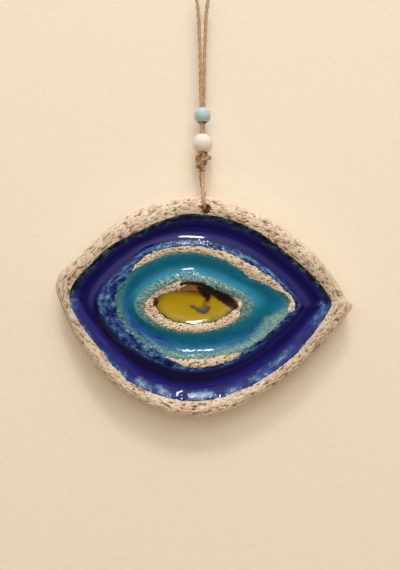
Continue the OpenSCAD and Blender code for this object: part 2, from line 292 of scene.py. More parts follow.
print("twine hanger", round(np.linalg.norm(np.diff(hangerRoute, axis=0), axis=1).sum(), 1), "mm, sling",
      round(np.linalg.norm(np.diff(slingRoute, axis=0), axis=1).sum(), 1), "mm")
sling = twinePiece("twine_sling_plies", [slingRoute], None, ["twine_sling"])
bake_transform(sling, "hanger", "sling", start=(0, 0, -0.0885), end=(0, 0, -0.0915))

# The knot: both strands drawn tight in an overhand, with the cut end standing out to the right
knotRuns = [
    [(-0.7, -0.4, -79.6), (-1.5, -1.0, -81), (-2.3, -0.9, -82.6), (-2.4, 0.2, -84.4), (-1.6, 1.3, -86),
     (0.2, 1.6, -86.2), (1.2, 0.7, -84.8), (0.9, -0.5, -83.4)],
    [(-1, 0.9, -87.8), (-2.1, -0.2, -87.5), (-2.1, -1.5, -86.5), (-0.7, -2.2, -85.3), (1, -2.1, -84.2),
     (2.7, -1.6, -83.3), (4.1, -1.2, -82.8)],
    [(0.9, 0.4, -79.8), (1.6, 0.4, -81.2), (1.1, 1.4, -82.8), (-0.6, 1.6, -83.6), (-1.6, 0.6, -84.9),
     (-1.3, -0.8, -86.2), (0, -1.3, -87.3), (0.5, -0.8, -88.6), (0.4, -0.7, -89.8)],
    [(0, 0.1, -80.2), (-0.3, 0, -83), (-0.4, 0.2, -86), (-0.8, 0.6, -89.8)],
    [(0.2, -0.9, -81.2), (0.6, -1, -82.8), (0.3, -0.9, -84.4), (0, -0.6, -86)],
]
# the knot's twine is painted darker, as shade beneath the bead
twinePiece("twine_knot_strands", [smoothRoute(p, twine["step"]) for p in knotRuns], "hanger",
           ["twine_knot"], fatter=1.2, knotShade=0.5)
print("twine laid")


def paintedBead(name, coat, worn, wood):
    # Turned wood under satin paint: an even soft sheen, with a thin worn line round the bore
    finish = {"Roughness": 0.42, "Specular IOR Level": 0.4, "Coat Weight": 0.15, "Coat Roughness": 0.3}
    material, tree, shader, marks = newMaterial(name, finish, ["bore"])
    turned = addNode(tree, "Mapping", {"Scale": (0.25, 0.25, 1)}, {"Vector": marks["place"]})
    mottle = addNode(tree, "TexNoise", {"Scale": 500, "Detail": 3}, {"Vector": turned})
    paint = addNode(tree, "ValToRGB", {"stops": [(0.35, worn), (0.6, coat)]}, {"Fac": mottle})
    colour = addNode(tree, "Mix", {"data_type": "RGBA", 7: linear(wood)}, {0: marks["bore"], 6: paint})
    bump = addNode(tree, "Bump", {"Strength": 0.15, "Distance": 0.1 * mm}, {"Height": mottle})
    link(tree, shader, {"Base Color": colour, "Normal": bump})
    return material


beads = {
    "bore": 4.2,
    "lip": 0.35,  # rounding where the bore meets the ball
    "blue_bead": {"d": 8.6, "coat": "#bccfd0", "worn": "#aac1c6", "slot": "blue_bead_paint"},
    "white_bead": {"d": 10.2, "coat": "#efe5d6", "worn": "#e6d8c6", "slot": "white_bead_paint"},
}


def spinBead(name):
    bead = beads[name]
    low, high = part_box(name)
    centre = (low + high) / 2
    radius, bore = bead["d"] / 2, beads["bore"] / 2
    start = math.asin((bore + beads["lip"]) / radius)
    profile = [(radius * math.sin(a), radius * math.cos(a)) for a in np.linspace(start, math.pi - start, 33)]
    edge = radius * math.cos(start) - beads["lip"]
    profile += [(bore + 0.1, -edge - 0.28), (bore, -edge + 0.1), (bore, 0),
                (bore, edge - 0.1), (bore + 0.1, edge + 0.28)]
    bm = bmesh.new()
    layer = bm.verts.layers.float.new("bore")
    verts = [bm.verts.new((x * mm, 0, z * mm)) for x, z in profile]
    for v, (x, z) in zip(verts, profile):
        v[layer] = 1.0 if x < bore + 0.3 else 0.0
    edges = [bm.edges.new((a, b)) for a, b in zip(verts, verts[1:] + verts[:1])]
    bmesh.ops.spin(bm, geom=verts + edges, cent=(0, 0, 0), axis=(0, 0, 1), angle=2 * math.pi,
                   steps=64, use_merge=True)
    bmesh.ops.remove_doubles(bm, verts=bm.verts, dist=1e-6)
    bmesh.ops.recalc_face_normals(bm, faces=bm.faces)
    bmesh.ops.translate(bm, verts=bm.verts, vec=centre)
    material = paintedBead(name + "Paint", bead["coat"], bead["worn"], "#7a5a3c")
    return addPiece(bm, name + "_turned", material, name, [name])


for name in ("blue_bead", "white_bead"):
    spinBead(name)
print("beads turned")


eye = {
    "around": 840,  # points round each contour
    "centre": (0.8, -156.5),  # the pupil's centre
    "left": [75, 68.5, 54.5, 41.5, 35.5, 24.5, 0],  # reach of each contour, from the outline in to the centre
    "right": [74.5, 64.5, 49.5, 42, 26, 17.5, 0],
    "up": [52.5, 43, 32, 23.5, 14, 7, 0],
    "down": [57, 49, 34, 24, 15.5, 10.5, 0],
    "pupilPoint": 1.2, "pointLeft": 1.65, "pointRight": 1.8,
    "point": [1, 1, 1, 0.5, 0.2, 0, 0],
    "tilt": [3.4, 1.7, 1, 3.4, 1.4, 0.3, 0],
    "lift": [3, 1.5, 0, 0, 0, 0, 0],
    "lean": [0.11, 0.09, 0.11, 0.26, 0.11, 0.08, 0],
    "frontY": -7.4, "backY": 5.6, "edge": 2.2,
    "lips": [2.2, 1.2, 2.4, 2.4, 2.2, 1.8, 4.6],  # depth of the clay at each contour
    "bands": [0, 5.6, 0.8, 5, 0.9, 4.4],  # and midway to the next
    "roundLeft": [3, 13, 16, 14, 10, 2, 0],  # how far each corner is rounded, in points of the contour
    "roundRight": [1.5, 2.5, 6, 7, 5, 1, 0],
    "hole": (1.6, -109.6, 2.6),
    # how far the hand strayed from the true contour: degrees, mm outward
    "strays": [
        [(0, 0.4), (17, -0.9), (44, 0.9), (64, 0.7), (78, -0.3), (94, 0.8), (110, -0.4), (121, 0.4),
         (134, -0.8), (149, -1.2), (163, 1.4), (175, 0.3), (196, -0.6), (230, 1.2), (252, -0.2), (270, 0.3),
         (290, -1), (310, -0.2), (340, -0.2)],
        [(6, -0.6), (25, 0.6), (50, 0), (72, 1.1), (95, 1.1), (119, -1.7), (136, -0.2), (147, -0.9),
         (160, 0.6), (200, -0.1), (220, -1.3), (239, 0.7), (255, -0.1), (285, -0.3), (314, 1), (335, 0)],
        [(7, -0.6), (30, 0), (78, -0.8), (95, -0.8), (122, 0.6), (134, -0.3), (155, 0.4), (222, 1),
         (246, -0.3), (263, 0.4), (300, 0.5), (316, -0.7), (340, 0.1)],
        [(18, 1), (40, -0.1), (56, -1.3), (80, -0.6), (110, 0.1), (140, 0.7), (185, -0.3), (204, 1.4),
         (235, 0.4), (270, 0.4), (312, 2), (348, -1.2)],
        [(24, -0.4), (60, -0.9), (95, 1.1), (138, -0.7), (160, -0.8), (208, 1.2), (240, 0.5), (265, 0),
         (305, 0.5), (330, 0.9), (350, 0.2)],
        [(60, 0.3), (96, -0.9), (130, 0.5), (185, 0.1), (222, 0.4), (300, 0), (325, -0.7), (354, -0.8)],
        [(0, 0)],
    ],
}


def atStation(name, s):
    return np.interp(s, range(7), eye[name])


def byAngle(pairs, t):  # value at each angle, straight between listed ones
    angles, values = zip(*pairs)
    return np.interp(np.degrees(t), angles, values, period=360)


def contourPoint(s, t):
    across, up = np.cos(t), np.sin(t)
    corner = eye["pointLeft"] + (eye["pointRight"] - eye["pointLeft"]) * (1 + across) / 2
    power = eye["pupilPoint"] + (corner - eye["pupilPoint"]) * atStation("point", s)
    tilt = np.radians(-atStation("tilt", s))
    lift = atStation("lift", s)
    left, right = atStation("left", s), atStation("right", s)
    tall = np.where(up >= 0, atStation("up", s) - lift, -atStation("down", s) - lift)
    x = (right - left) / 2 + (right + left) / 2 * across
    z = lift + tall * np.abs(up) ** power * (1 - atStation("lean", s) * across)
    return (eye["centre"][0] + x * np.cos(tilt) - z * np.sin(tilt),
            eye["centre"][1] + x * np.sin(tilt) + z * np.cos(tilt))


def evenAngles():  # angles whose points stand evenly along the rim, with one on each corner
    fine = np.linspace(0, 2 * np.pi, 4001)
    x, z = contourPoint(np.full_like(fine, 1.0), fine)
    along = np.r_[0, np.cumsum(np.hypot(np.diff(x), np.diff(z)))]
    corner = along[2000]
    half = eye["around"] // 2
    spots = np.r_[np.linspace(0, corner, half, endpoint=False),
                  np.linspace(corner, along[-1], half, endpoint=False)]
    return np.interp(spots, along, fine), spots / along[-1], along[-1]


angles, shares, rimLength = evenAngles()


def softenCorners(s, *grids):  # the carver's thumb rounded the corners, most on the ridge
    column = np.arange(len(angles))
    most = max(eye["roundLeft"])
    weight = np.zeros_like(s)
    for side, corner in (("roundLeft", len(angles) // 2), ("roundRight", 0)):
        away = np.abs((column - corner + len(angles) / 2) % len(angles) - len(angles) / 2)
        weight += (atStation(side, s) / most) ** 2 * np.exp(-(away / 55) ** 4)[None, :]
    for _ in range(2 * most ** 2):
        grids = [g + weight * ((np.roll(g, 1, 1) + np.roll(g, -1, 1)) / 4 - g / 2) for g in grids]
    return grids


def ringGrid(stations):  # x, z of rings of points at these stations, with the hand's strays
    s, t = np.meshgrid(np.asarray(stations, float), angles, indexing="ij")
    x, z = contourPoint(s, t)
    stray = np.stack([byAngle(pairs, angles) for pairs in eye["strays"]])
    low = np.clip(np.floor(s), 0, 5).astype(int)
    column = np.arange(len(angles))[None, :]
    offset = stray[low, column] * (1 - (s - low)) + stray[low + 1, column] * (s - low)
    tangentX, tangentZ = np.roll(x, -1, 1) - np.roll(x, 1, 1), np.roll(z, -1, 1) - np.roll(z, 1, 1)
    length = np.maximum(np.hypot(tangentX, tangentZ), 1e-9)
    x, z = softenCorners(s, x + offset * tangentZ / length, z - offset * tangentX / length)
    return s, t, x, z


def brushed(flat, strokes):  # mm inside the nearest stroke, negative outside; a stroke is x, z, half width
    best = np.full(flat.shape[:-1], -99.0)
    for stroke in strokes:
        for x, w, z in smoothRoute([(x, w, z) for x, z, w in stroke], 0.6):
            best = np.maximum(best, w - np.hypot(flat[..., 0] - x, flat[..., 2] - z))
    return best


def easeOver(value, low, high):
    share = np.clip((value - low) / (high - low), 0, 1)
    return share * share * (3 - 2 * share)


bandPlaces = [0, 9, 22, 32, 41, 48, 64]  # how far in each contour lies along the flow, mm


def flowAlong(s, behind=0):  # a place round the rim and in across the bands, mm, for streaks
    turn = shares[None, :] * 2 * np.pi + 0 * s
    radius = rimLength / (2 * np.pi)
    across = np.interp(s, range(7), bandPlaces)
    return np.stack([radius * np.cos(turn), radius * np.sin(turn), across - behind], -1)


def clayDepth(s):  # depth below the rim's crest: each band swells or dips between its two lips
    k = np.clip(np.floor(s), 0, 5).astype(int)
    f = s - k
    lips, bands = np.array(eye["lips"]), np.array(eye["bands"])
    level = lips[k] + (lips[k + 1] - lips[k]) * f
    return level + (bands[k] - (lips[k] + lips[k + 1]) / 2) * np.sin(np.pi * f)


def bandWidth(s, x, z):  # mm that one station spans here, from one ring to the next
    gap = np.hypot(np.diff(x, axis=0), np.diff(z, axis=0)) / np.maximum(np.abs(np.diff(s, axis=0)), 1e-6)
    return np.vstack([gap, gap[-1:]])


glaze = {
    "under": 0.6,  # how far the hidden side of a glaze lies inside the clay, mm
    "calm": [(1.05, 2.03), (3.08, 4.0)],  # stations between which the pools lie level over the grain
    "scraped": 0.025,  # the carving tool's fine furrows, still felt under the pools, mm
    "soften": 0.22,  # thickness of glaze that evens out most of the clay's grain
    # station where each glaze stops on the middle ridge, by angle
    "cobaltEnds": [(0, 2.42), (25, 2.38), (60, 2.36), (85, 2.38), (110, 2.5), (125, 2.42), (136, 2.5),
                   (144, 2.78), (240, 2.8), (250, 2.5), (256, 2.38), (265, 2.25), (283, 2.17), (292, 2.2),
                   (299, 2.7), (322, 2.75), (341, 2.7), (347, 2.4)],
    "turquoiseEnds": [(0, 2.85), (25, 2.66), (40, 2.9), (56, 3.08), (74, 2.87), (100, 2.86), (127, 2.92),
                      (140, 2.8), (148, 2.66), (240, 2.6), (254, 2.58), (264, 2.67), (283, 2.67), (292, 2.5),
                      (310, 2.42), (330, 2.6), (343, 2.65), (350, 2.85)],
    "celadonEnds": [(0, 4.75), (20, 4.72), (32, 4.9), (44, 5.02), (72, 5.0), (84, 4.8), (92, 4.5),
                    (106, 4.43), (121, 4.55), (138, 4.64), (163, 4.66), (205, 4.42), (245, 4.33),
                    (268, 4.15), (285, 4.2), (316, 4.3), (338, 4.72)],
    # how fast the cobalt thickens in from the rim, mm a mm: it ran off the bottom wall and left that blue
    "cobaltStart": [(10, 0.3), (40, 0.5), (140, 0.5), (165, 0.35), (185, 0.2), (215, 0.12), (300, 0.1),
                    (345, 0.16)],
    # pale runs where it thinned on the lower wall: x, z, half width
    "paleRuns": [[(-64.7, -155, 0.5), (-63.2, -163.5, 0.7), (-59.2, -170, 0.9), (-56.2, -174, 0.5)],
                 [(-49.7, -182.2, 1), (-46.2, -187.2, 1.4), (-42.2, -190.7, 1.4), (-38.5, -193.5, 0.8)],
                 [(-32.6, -195, 0.8), (-29.6, -197, 1.5), (-26.6, -199.8, 1)],
                 [(-22.9, -199.2, 0.8), (-19.9, -200.6, 1.3), (-16.9, -202.4, 0.8)],
                 [(-6.2, -203, 0.8), (-2.2, -202.2, 1.3), (1.8, -202, 1.5), (5.2, -203, 0.8)],
                 [(12.7, -201.5, 0.7), (18.7, -199, 0.9)],
                 [(24.7, -195.5, 0.8), (28.7, -193, 1.3), (33.2, -190.5, 0.9)],
                 [(34.7, -188.5, 0.5), (40.7, -183, 1), (44.2, -179.5, 0.8)],
                 [(59.7, -156.5, 0.8), (61.2, -159, 1), (58.7, -163, 0.9), (56.2, -167.5, 0.7)]],
    "innerShade": [(0, 0), (165, 0), (195, 0.5), (215, 0.75), (270, 0.75), (290, 0.5), (315, 0.15), (335, 0)],
    "crust": [(20, 0), (55, 0.1), (125, 0.1), (150, 0.03), (190, 0.03), (235, 0.06), (270, 0.04), (310, 0)],
    "paleEdge": [(0, 0.6), (30, 0.2), (150, 0.2), (225, 0.4), (258, 1), (345, 1)],
    "crestEdge": [(0, 2.97), (60, 3.02), (100, 2.97), (150, 2.9), (240, 2.95), (300, 3.0), (316, 3.3),
                  (332, 3.4), (346, 3.1)],
    "blister": (-10.2, -202.6, 1.7, 0.5),  # a burst bubble: x, z, radius, height
    "cobaltPools": 1.95,  # station where the pool's inner edge lies on the ridge
    "deepBlue": [(5, 0), (110, 0), (160, 0.1), (190, 0.35), (212, 0.9), (238, 1), (258, 0.25), (290, 0.4),
                 (310, 0.7), (325, 0.4), (340, 0)],
}


def cobaltThickness(s, t, width, flat):
    ragged = 0.45 * grain(flat, 3, 11) + 0.25 * grain(flat, 1.1, 12)
    pool = 1.1 * np.sin(np.pi * np.clip((s - 1.03) / 0.95, 0, 1)) ** 1.2
    thin = 0.2 + (0.14 * grain(flat, 2.8, 13) + 0.08 * grain(flat, 1.2, 14)) * easeOver(s, 1.98, 2.14)
    start = byAngle(glaze["cobaltStart"], t)
    fromRim = ((s - 1) * width + 0.8 * ragged) * np.where(s < 1.03, 0.4, start) + 0.02
    fromCrest = ((byAngle(glaze["cobaltEnds"], t) - s) * width + 1.4 * ragged) * 0.3
    x, z, radius, height = glaze["blister"]
    swell = height * np.exp(-(np.hypot(flat[..., 0] - x, flat[..., 2] - z) / radius) ** 2)
    return np.clip(np.minimum(fromRim, fromCrest), -0.3, thin + pool) + swell


def turquoiseThickness(s, t, width, flat):
    ragged = 0.4 * grain(flat, 2.6, 21) + 0.25 * grain(flat, 1, 22)
    pool = 0.95 * np.sin(np.pi * np.clip((s - 2.92) / 1.1, 0, 1)) ** 1.1
    thin = 0.2 + (0.08 * grain(flat, 2.4, 23)
                  + 0.05 * grain(flat, 1.1, 24)) * easeOver(abs(s - 3.52), 0.44, 0.54)
    fromCrest = ((s - byAngle(glaze["turquoiseEnds"], t)) * width + 1.2 * ragged) * 0.3
    fromRing = ((byAngle(glaze["celadonEnds"], t) - s) * width + ragged) * 0.3
    return np.clip(np.minimum(fromCrest, fromRing), -0.3, thin + pool)


clay = {
    "torn": [(2.3, 1.0, 0.5), (1.0, 0.5, 0.4)],  # pits the grog left when scraped: length, width, depth
    "lump": (3.6, 0.25),  # size and height of the unevenness
    "grit": (0.8, 0.12),
    "smoothSide": 0.3,  # share of the roughness left where the edge was wiped round
    "sunk": 0.3,  # clay under glaze stands back by this much
    # the rim is painted darker at the left, as shade on the side turned from the light, and at the upper
    # right and the lower right: share by angle
    "toasted": [(30, 0.5), (75, 0), (120, 0), (175, 0.5), (230, 0.4), (275, 0), (320, 0.5), (350, 0.2)],
}


def roughness(s, x, z, flow):  # how far the fired surface stands proud of the carved form, mm
    flat = np.stack([x, 0 * x, z], -1)
    flow = flow + np.stack([0 * s, 0 * s, 1.5 * grain(flat, 9, 5)], -1)
    height = clay["lump"][1] * grain(flat, clay["lump"][0], 3)
    height += clay["grit"][1] * grain(flat, clay["grit"][0], 4)
    for seed, (long, wide, deep) in enumerate(clay["torn"]):
        pits = grain(flow, np.array([long, long, wide]), seed)
        height -= deep * np.clip((-0.08 - pits) / 0.4, 0, 1)
    wiped = clay["smoothSide"] + (1 - clay["smoothSide"]) * easeOver(s, 0.02, 0.25)
    return height * wiped * easeOver(6 - s, 0, 0.5)


def ringPiece(name, x, y, z, layers, material, body, nodes, drillBehind=None):
    rows, columns = x.shape
    bm = bmesh.new()
    bmesh.ops.create_grid(bm, x_segments=columns, y_segments=rows - 1, size=1)
    made = {key: (bm.verts.layers.float_vector if values.ndim == 3 else bm.verts.layers.float).new(key)
            for key, values in layers.items()}
    spots = {}
    for v in bm.verts:
        column = round((v.co.x + 1) / 2 * columns) % columns
        row = round((v.co.y + 1) / 2 * (rows - 1))
        spots[v] = row, column
        v.co = (x[row, column] * mm, y[row, column] * mm, z[row, column] * mm)
        for key, layer in made.items():
            v[layer] = layers[key][row, column]
    bmesh.ops.remove_doubles(bm, verts=bm.verts, dist=2e-6)
    if drillBehind:
        drillHole(bm, spots, x, z, drillBehind)
    bmesh.ops.recalc_face_normals(bm, faces=bm.faces)
    return addPiece(bm, name, material, body, nodes)


def drillHole(bm, spots, x, z, backRows):  # opens a block of faces in the back and in the front, made round
    holeX, holeZ, radius = eye["hole"]
    near = np.hypot(x - holeX, z - holeZ) < 0.9 * radius
    blocks = []
    for first, last in ((0, backRows), (backRows, len(near))):
        rows, columns = np.nonzero(near[first:last])
        blocks.append((rows.min() + first, rows.max() + first, columns.min(), columns.max()))
    gone = [f for f in bm.faces for top, bottom, left, right in blocks
            if all(top <= spots[v][0] <= bottom and left <= spots[v][1] <= right for v in f.verts)]
    bmesh.ops.delete(bm, geom=gone, context="FACES")
    middle = Vector((holeX, 0, holeZ))
    edges = [e for e in bm.edges
             if e.is_boundary and ((e.verts[0].co / mm - middle) * Vector((1, 0, 1))).length < 9]
    for v in {v for e in edges for v in e.verts}:
        share = radius / math.hypot(v.co.x / mm - holeX, v.co.z / mm - holeZ)
        v.co.x = (holeX + (v.co.x / mm - holeX) * share) * mm
        v.co.z = (holeZ + (v.co.z / mm - holeZ) * share) * mm
    bmesh.ops.bridge_loops(bm, edges=edges)


def flowPatterns(tree, sizes):  # noises stretched along the carving: length and width in mm, detail
    flow = addNode(tree, "Attribute", {"attribute_name": "flow"})
    patterns = []
    for long, wide, detail in sizes:
        sized = addNode(tree, "Mapping", {"Scale": (1 / long, 1 / long, 1 / wide)},
                        {"Vector": flow.outputs["Vector"]})
        patterns.append(addNode(tree, "TexNoise", {"Scale": 1.0, "Detail": detail, "Roughness": 0.6},
                                {"Vector": sized}))
    return patterns


def groggedClay():
    # Coarse grogged clay, fired bare: chalky pinkish cream on the scraped faces, with painted shade browning
    # the torn pits and low places
    finish = {"Roughness": 0.95, "Specular IOR Level": 0.15}
    material, tree, shader, marks = newMaterial("groggedClay", finish, ["relief", "toasted"])
    dashes, = flowPatterns(tree, [(1.3, 0.6, 4.0)])
    cloud = addNode(tree, "TexNoise", {"Scale": 110, "Detail": 3}, {"Vector": marks["place"]})
    height = addNode(tree, "Math", {"operation": "MULTIPLY_ADD", 1: 1.1}, {0: dashes, 2: marks["relief"]})
    ranged = addNode(tree, "MapRange", {"From Min": 0.3, "From Max": 1.62}, {"Value": height})
    stops = [(0.12, "#574635"), (0.32, "#9c8976"), (0.5, "#cdbdab"), (0.78, "#f0e4d4")]
    tone = addNode(tree, "ValToRGB", {"stops": stops}, {"Fac": ranged})
    tint = addNode(tree, "ValToRGB", {"stops": [(0.38, "#f8e6d8"), (0.6, "#fffae6")]}, {"Fac": cloud})
    tinted = addNode(tree, "Mix", {"data_type": "RGBA", "blend_type": "MULTIPLY", 0: 0.9}, {6: tone, 7: tint})
    # the rim darkened by angle, at the left as painted shade
    colour = addNode(tree, "Mix", {"data_type": "RGBA", "blend_type": "MULTIPLY", 7: linear("#c8c0b8")},
                     {0: marks["toasted"], 6: tinted})
    bump = addNode(tree, "Bump", {"Strength": 0.9, "Distance": 0.35 * mm}, {"Height": dashes})
    link(tree, shader, {"Base Color": colour, "Normal": bump})
    return material


def buildClay():
    inner = np.r_[np.linspace(6, 1.2, 14), np.linspace(1, 0.25, 9)]
    backRows = [(s, eye["backY"]) for s in inner]
    turn = np.linspace(0, math.pi / 2, 5)[1:]
    backRows += [(0.25 * (1 - math.sin(a)), eye["backY"] - eye["edge"] * (1 - math.cos(a))) for a in turn]
    side = [(0, y) for y in np.linspace(eye["backY"] - eye["edge"], eye["frontY"] + eye["edge"], 10)[1:-1]]
    front = np.r_[np.linspace(0, 1.02, 25), np.linspace(1.17, 1.98, 6), np.linspace(2.1, 3.12, 23),
                  np.linspace(3.3, 3.98, 4), np.linspace(4.1, 5.04, 18), np.linspace(5.25, 6, 4)]
    stations = np.r_[[s for s, _ in backRows], [s for s, _ in side], front]
    s, t, x, z = ringGrid(stations)
    y = eye["frontY"] + clayDepth(s)
    fixed = len(backRows) + len(side)
    y[:fixed] = np.array([q for _, q in backRows + side])[:, None]
    behind = np.zeros_like(s)
    behind[:fixed] = y[:fixed] - eye["frontY"]
    flow = flowAlong(s, behind)
    flow[:len(inner)] = np.stack([x, z, 0 * x], -1)[:len(inner)]
    rough = roughness(s, x, z, flow)
    rough[:len(inner)] *= 1 - 0.85 * easeOver(s[:len(inner)], 0.25, 0.9)  # it dried on a flat board
    facing = np.ones_like(s)
    facing[:len(backRows)] = -0.6
    facing[len(backRows):fixed] = 0
    y = y - facing * rough
    turned = slice(len(backRows) - 2, fixed + 4)
    outX, outZ = x[turned] - eye["centre"][0], z[turned] - eye["centre"][1]
    away = np.hypot(outX, outZ)
    x[turned] += outX / away * (1.2 * rough[turned] - 0.1)
    z[turned] += outZ / away * (1.2 * rough[turned] - 0.1)
    seen, flat, width = s[fixed:], np.stack([x, 0 * x, z], -1)[fixed:], bandWidth(s, x, z)[fixed:]
    covered = np.maximum(cobaltThickness(seen, t[fixed:], width, flat),
                         turquoiseThickness(seen, t[fixed:], width, flat))
    y[fixed:] += clay["sunk"] * easeOver(covered, 0.03, 0.16)
    # low places in the fired surface are painted darker, as shade in the pits
    layers = {"relief": np.clip(0.75 + rough, 0, 1), "flow": flow,
              "toasted": byAngle(clay["toasted"], t) * (1 - easeOver(s, 1, 1.3))}
    return ringPiece("clay_body", x, y, z, layers, groggedClay(), "plaque", ["clay_plaque"],
                     len(backRows) + len(side) // 2)


buildClay()
print("clay carved")


def glazeBand(name, stations, thickness, material, node, marks):
    # The band's rings run over its surface and back under it, inside the clay
    stations = np.asarray(stations, float)
    under = np.linspace(stations[-1], stations[0], 8)
    s, t, x, z = ringGrid(np.r_[stations, under, stations[:1]])
    over = len(stations)
    width = bandWidth(s[:over], x[:over], z[:over])
    flat = np.stack([x, 0 * x, z], -1)
    thick = np.zeros_like(s)
    thick[:over] = thickness(s[:over], t[:over], width, flat[:over])
    rough = roughness(s, x, z, flowAlong(s))
    kept = rough * np.exp(-np.clip(thick, 0, 9) / glaze["soften"])
    for first, last in glaze["calm"]:
        kept *= 1 - easeOver(s, first, first + 0.1) * (1 - easeOver(s, last - 0.06, last))
    scraped = 0.5 + 0.5 * grain(np.stack([0 * s, 0 * s, np.interp(s, range(7), bandPlaces)], -1)
                                + 0.35 * grain(flowAlong(s), 22, 28)[..., None], 1.5, 29)
    y = eye["frontY"] + clayDepth(s) - kept - thick + glaze["scraped"] * scraped
    y[over:-1] += glaze["under"]
    thick[over:-1] = 0.5
    y[-1], thick[-1] = y[0], thick[0]
    layers = {"thick": thick - 0.35 * kept, "flow": flowAlong(s)}
    for key, mark in marks.items():
        layers[key] = np.zeros_like(s)
        layers[key][:over] = mark(s[:over], t[:over], flat[:over])
    return ringPiece(name, x, y, z, layers, material, "plaque", [node])


def ridgeFlank(s, t, flat):  # 1 where the cobalt runs thin and mottled up the ridge
    return easeOver(s + 0.05 * grain(flat, 4, 15), 1.98, 2.1)


def poolLine(s, t, flat):  # painted shade: a dark line along the pool's inner edge, where its surface turns down at the foot of the ridge
    shown = easeOver(np.sin(t), -0.75, -0.35)
    return shown * np.exp(-((s - glaze["cobaltPools"] + 0.03 * grain(flat, 6, 16)) / 0.05) ** 2)


def lowerWall(s, t, flat):  # 1 on the groove's lit lower wall, where the cobalt thins to blue
    return 0.8 * (1 - easeOver(s + 0.1 * grain(flat, 5, 18), 1.2, 1.6)) * easeOver(-np.sin(t), 0.1, 0.5)


def paleRun(s, t, flat):
    return 0.8 * easeOver(brushed(flat, glaze["paleRuns"]) + 1.2 * grain(flat, 1.9, 19), -1.6, 1.5)


def innerShade(s, t, flat):  # painted shade: below the ridge, where its lower flank faces down, the pool is painted nearly black
    inner = easeOver(s + 0.1 * grain(flat, 7, 20), 1.5, 1.7) * (1 - easeOver(s, 1.92, 2.04))
    return byAngle(glaze["innerShade"], t) * inner


def crust(s, t, flat):  # the flank above is paler than below
    return byAngle(glaze["crust"], t)


def upperLip(s, t, flat):  # 1 on the edge above, where the wall faces down: painted shade, dark navy, with the glaze's own teal spots
    return (1 - easeOver(s + 0.1 * grain(flat, 4, 17), 1.06, 1.28)) * easeOver(np.sin(t), -0.1, 0.2)


def celadonBand(s, t, flat):
    return easeOver(s + 0.05 * grain(flat, 3, 25), 3.98, 4.16)


def crestEdge(s, t, flat):
    edge = byAngle(glaze["crestEdge"], t)
    return 1 - easeOver(s + 0.08 * grain(flat, 3, 26), edge - 0.26, edge + 0.18)


# the crest edge is pale where this share is high, at the bottom where the glaze thins; where it is low, at
# the top, the edge is painted dark as shade on the wall that faces down
def paleEdge(s, t, flat):
    return byAngle(glaze["paleEdge"], t)


def blueRun(s, t, flat):  # deep blue carried over the ridge into the turquoise
    return byAngle(glaze["deepBlue"], t) * (1 - easeOver(s + 0.2 * grain(flat, 5, 27), 3.35, 3.75))


cobaltMarks = {"flank": ridgeFlank, "crust": crust, "lowerWall": lowerWall, "paleRun": paleRun,
               "upperLip": upperLip, "poolLine": poolLine, "innerShade": innerShade}
turquoiseMarks = {"celadon": celadonBand, "crestEdge": crestEdge, "paleEdge": paleEdge, "blueRun": blueRun}


def brokenSurface(tree, broken, fleck):  # glass smooth in the pools, pimpled where the glaze runs thin
    ripple, = flowPatterns(tree, [(14, 2.5, 1.0)])
    strength = addNode(tree, "Math", {"operation": "MULTIPLY", 1: 0.36}, {0: broken})
    rippled = addNode(tree, "Bump", {"Strength": 0.03, "Distance": 0.6 * mm}, {"Height": ripple})
    return addNode(tree, "Bump", {"Distance": 0.25 * mm},
                   {"Strength": strength, "Height": fleck, "Normal": rippled})


